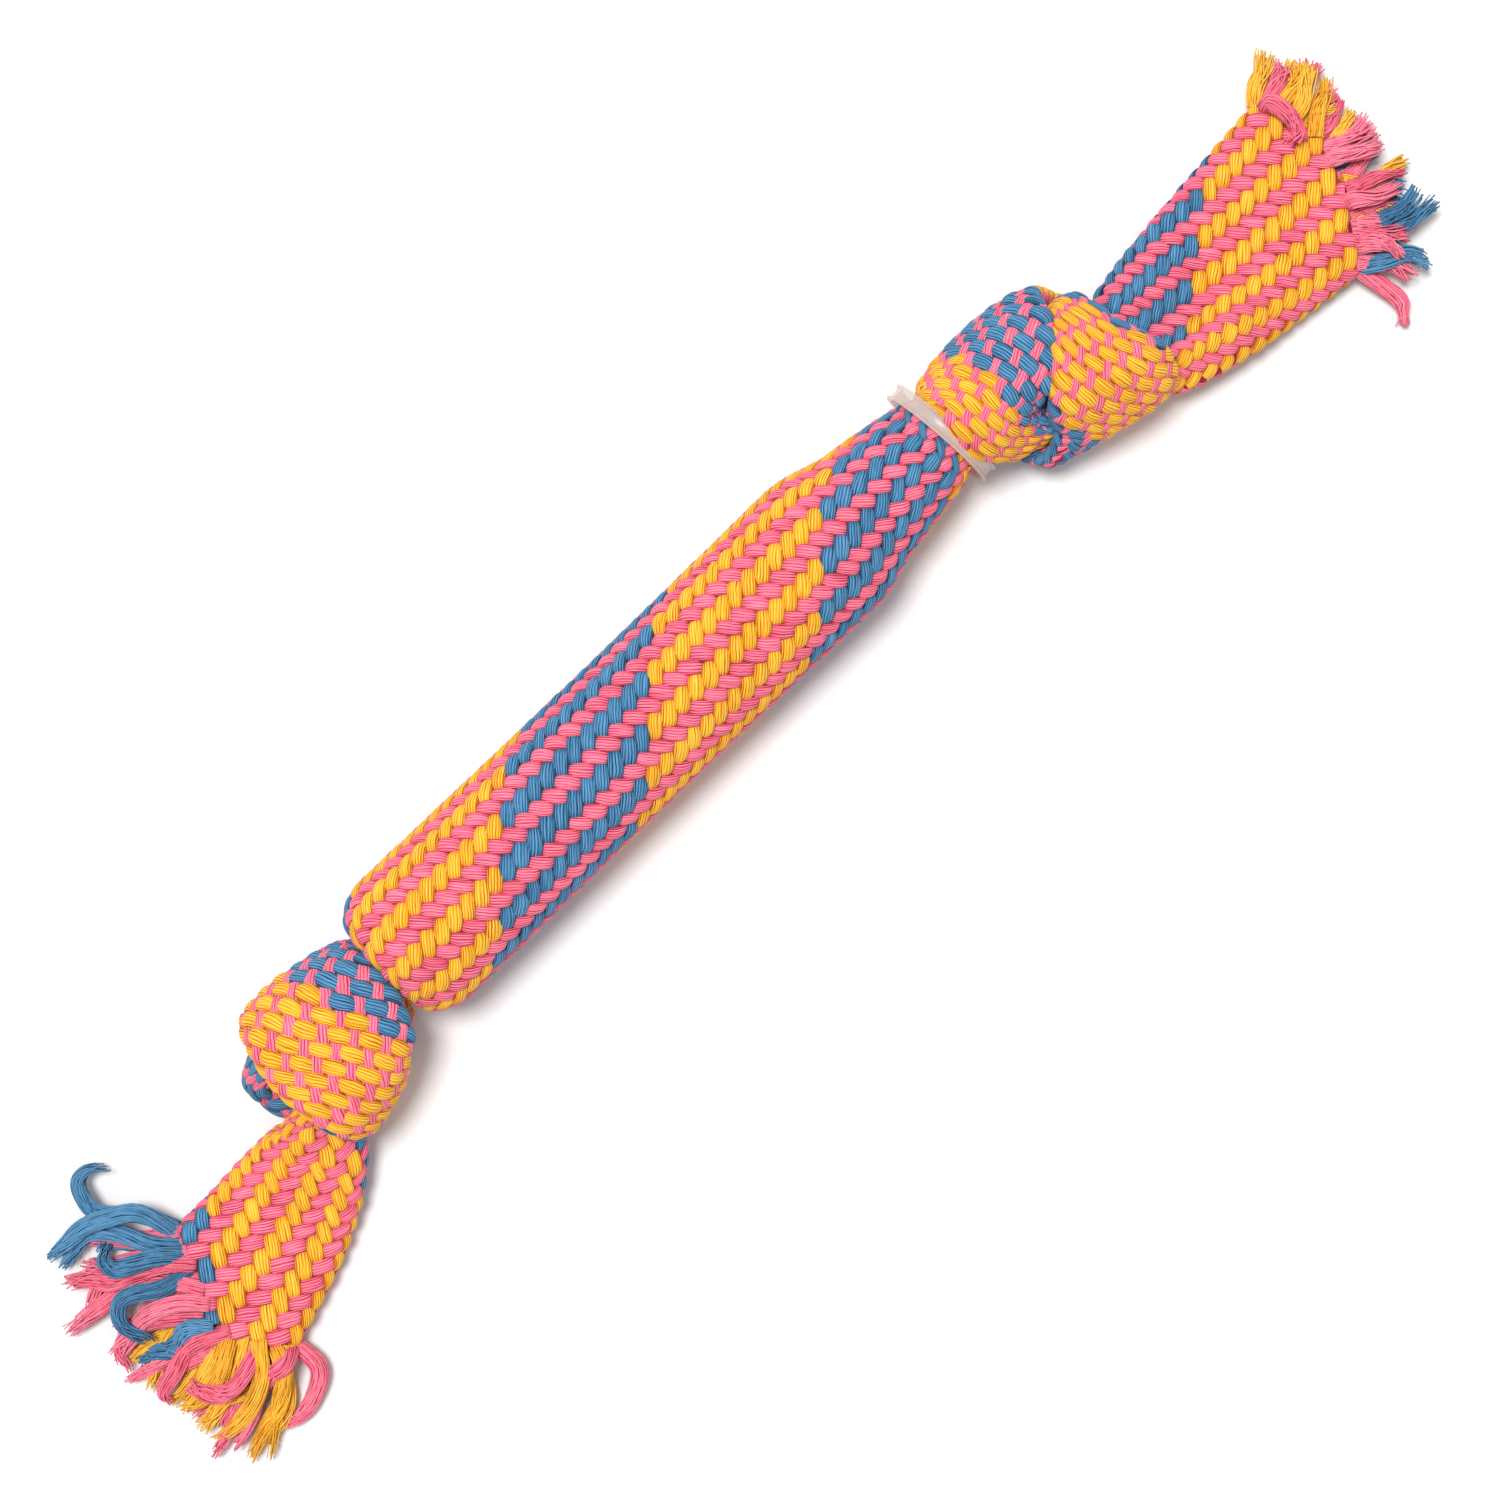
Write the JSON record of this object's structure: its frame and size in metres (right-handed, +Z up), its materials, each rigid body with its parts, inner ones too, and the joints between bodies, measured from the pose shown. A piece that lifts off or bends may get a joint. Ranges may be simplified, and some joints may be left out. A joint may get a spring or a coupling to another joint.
{
  "type": "rope dog toy",
  "caption": "Braided rope dog toy: a filled tubular sleeve tied in an overhand knot at each end, with flat frayed tails and a clear band round one neck.",
  "frame": {"origin": "on the flat that the filled body rests on, under the body's axis and near its middle", "axes": "+X along the body towards the end with the clear band, +Z up from the surface that the toy lies on, +Y to the left of +X"},
  "size_m": [0.4831, 0.0971, 0.0415],
  "materials": {
    "braid": "soft braided cotton-like strands in pink, yellow and blue",
    "strand_pink": "soft cotton-like yarn, pink",
    "strand_yellow": "soft cotton-like yarn, yellow",
    "strand_blue": "soft cotton-like yarn, blue",
    "filling": "soft fibre filling",
    "clear_plastic": "milky translucent plastic"
  },
  "bodies": {
    "body": {"body_sleeve": "braid", "filling_core": "filling", "neck_b": "braid"},
    "band": {"clear_band": "clear_plastic"},
    "neck_a": {"neck_a": "braid"},
    "knot_a": {"knot_a": "braid"},
    "tail_a": {"tail_a": "braid", "strand_a_01": "strand_pink", "strand_a_02": "strand_yellow", "strand_a_03": "strand_pink", "strand_a_04": "strand_blue", "strand_a_05": "strand_pink", "strand_a_06": "strand_yellow", "strand_a_07": "strand_pink", "strand_a_08": "strand_blue", "strand_a_09": "strand_pink", "strand_a_10": "strand_yellow", "strand_a_11": "strand_pink", "strand_a_12": "strand_blue", "strand_a_13": "strand_pink", "strand_a_14": "strand_yellow", "strand_a_15": "strand_pink", "strand_a_16": "strand_blue", "strand_a_17": "strand_pink", "strand_a_18": "strand_yellow", "strand_a_19": "strand_pink", "strand_a_20": "strand_blue"},
    "neck_b": {"throat_b": "braid"},
    "knot_b": {"knot_b": "braid"},
    "tail_b": {"tail_b": "braid", "strand_b_01": "strand_pink", "strand_b_02": "strand_yellow", "strand_b_03": "strand_pink", "strand_b_04": "strand_blue", "strand_b_05": "strand_pink", "strand_b_06": "strand_yellow", "strand_b_07": "strand_pink", "strand_b_08": "strand_blue", "strand_b_09": "strand_pink", "strand_b_10": "strand_yellow", "strand_b_11": "strand_pink", "strand_b_12": "strand_blue", "strand_b_13": "strand_pink", "strand_b_14": "strand_yellow", "strand_b_15": "strand_pink", "strand_b_16": "strand_blue", "strand_b_17": "strand_pink", "strand_b_18": "strand_yellow", "strand_b_19": "strand_pink", "strand_b_20": "strand_blue"}
  },
  "joints": [
    {"name": "band_turn", "type": "hinge", "parent": "body", "child": "band", "pos_m": [0.1043, 0, 0.0183], "axis": [0.9954, 0.0958, 0], "continuous": true},
    {"name": "neck_a_swing", "type": "hinge", "parent": "body", "child": "neck_a", "pos_m": [-0.1004, 0, 0.0205], "axis": [0, 0, 1], "range_deg": [-15, 8], "deforming": ["neck_a"]},
    {"name": "neck_a_lift", "type": "hinge", "parent": "neck_a", "child": "knot_a", "pos_m": [-0.1004, 0, 0.0205], "axis": [0, 1, 0], "range_deg": [-6, 12], "deforming": ["neck_a"]},
    {"name": "tail_a_flap", "type": "hinge", "parent": "knot_a", "child": "tail_a", "pos_m": [-0.14075, -0.0132, 0.0197], "axis": [0, 1, 0], "range_deg": [-20, 70], "deforming": ["tail_a"]},
    {"name": "neck_b_swing", "type": "hinge", "parent": "body", "child": "neck_b", "pos_m": [0.1105, 0, 0.0205], "axis": [0, 0, 1], "range_deg": [-7, 20], "deforming": ["throat_b"]},
    {"name": "neck_b_lift", "type": "hinge", "parent": "neck_b", "child": "knot_b", "pos_m": [0.1105, 0, 0.0205], "axis": [0, -1, 0], "range_deg": [-12, 12], "deforming": ["throat_b"]},
    {"name": "tail_b_flap", "type": "hinge", "parent": "knot_b", "child": "tail_b", "pos_m": [0.16115, -0.0197, 0.0188], "axis": [0, -1, 0], "range_deg": [-20, 70], "deforming": ["tail_b"]}
  ]
}
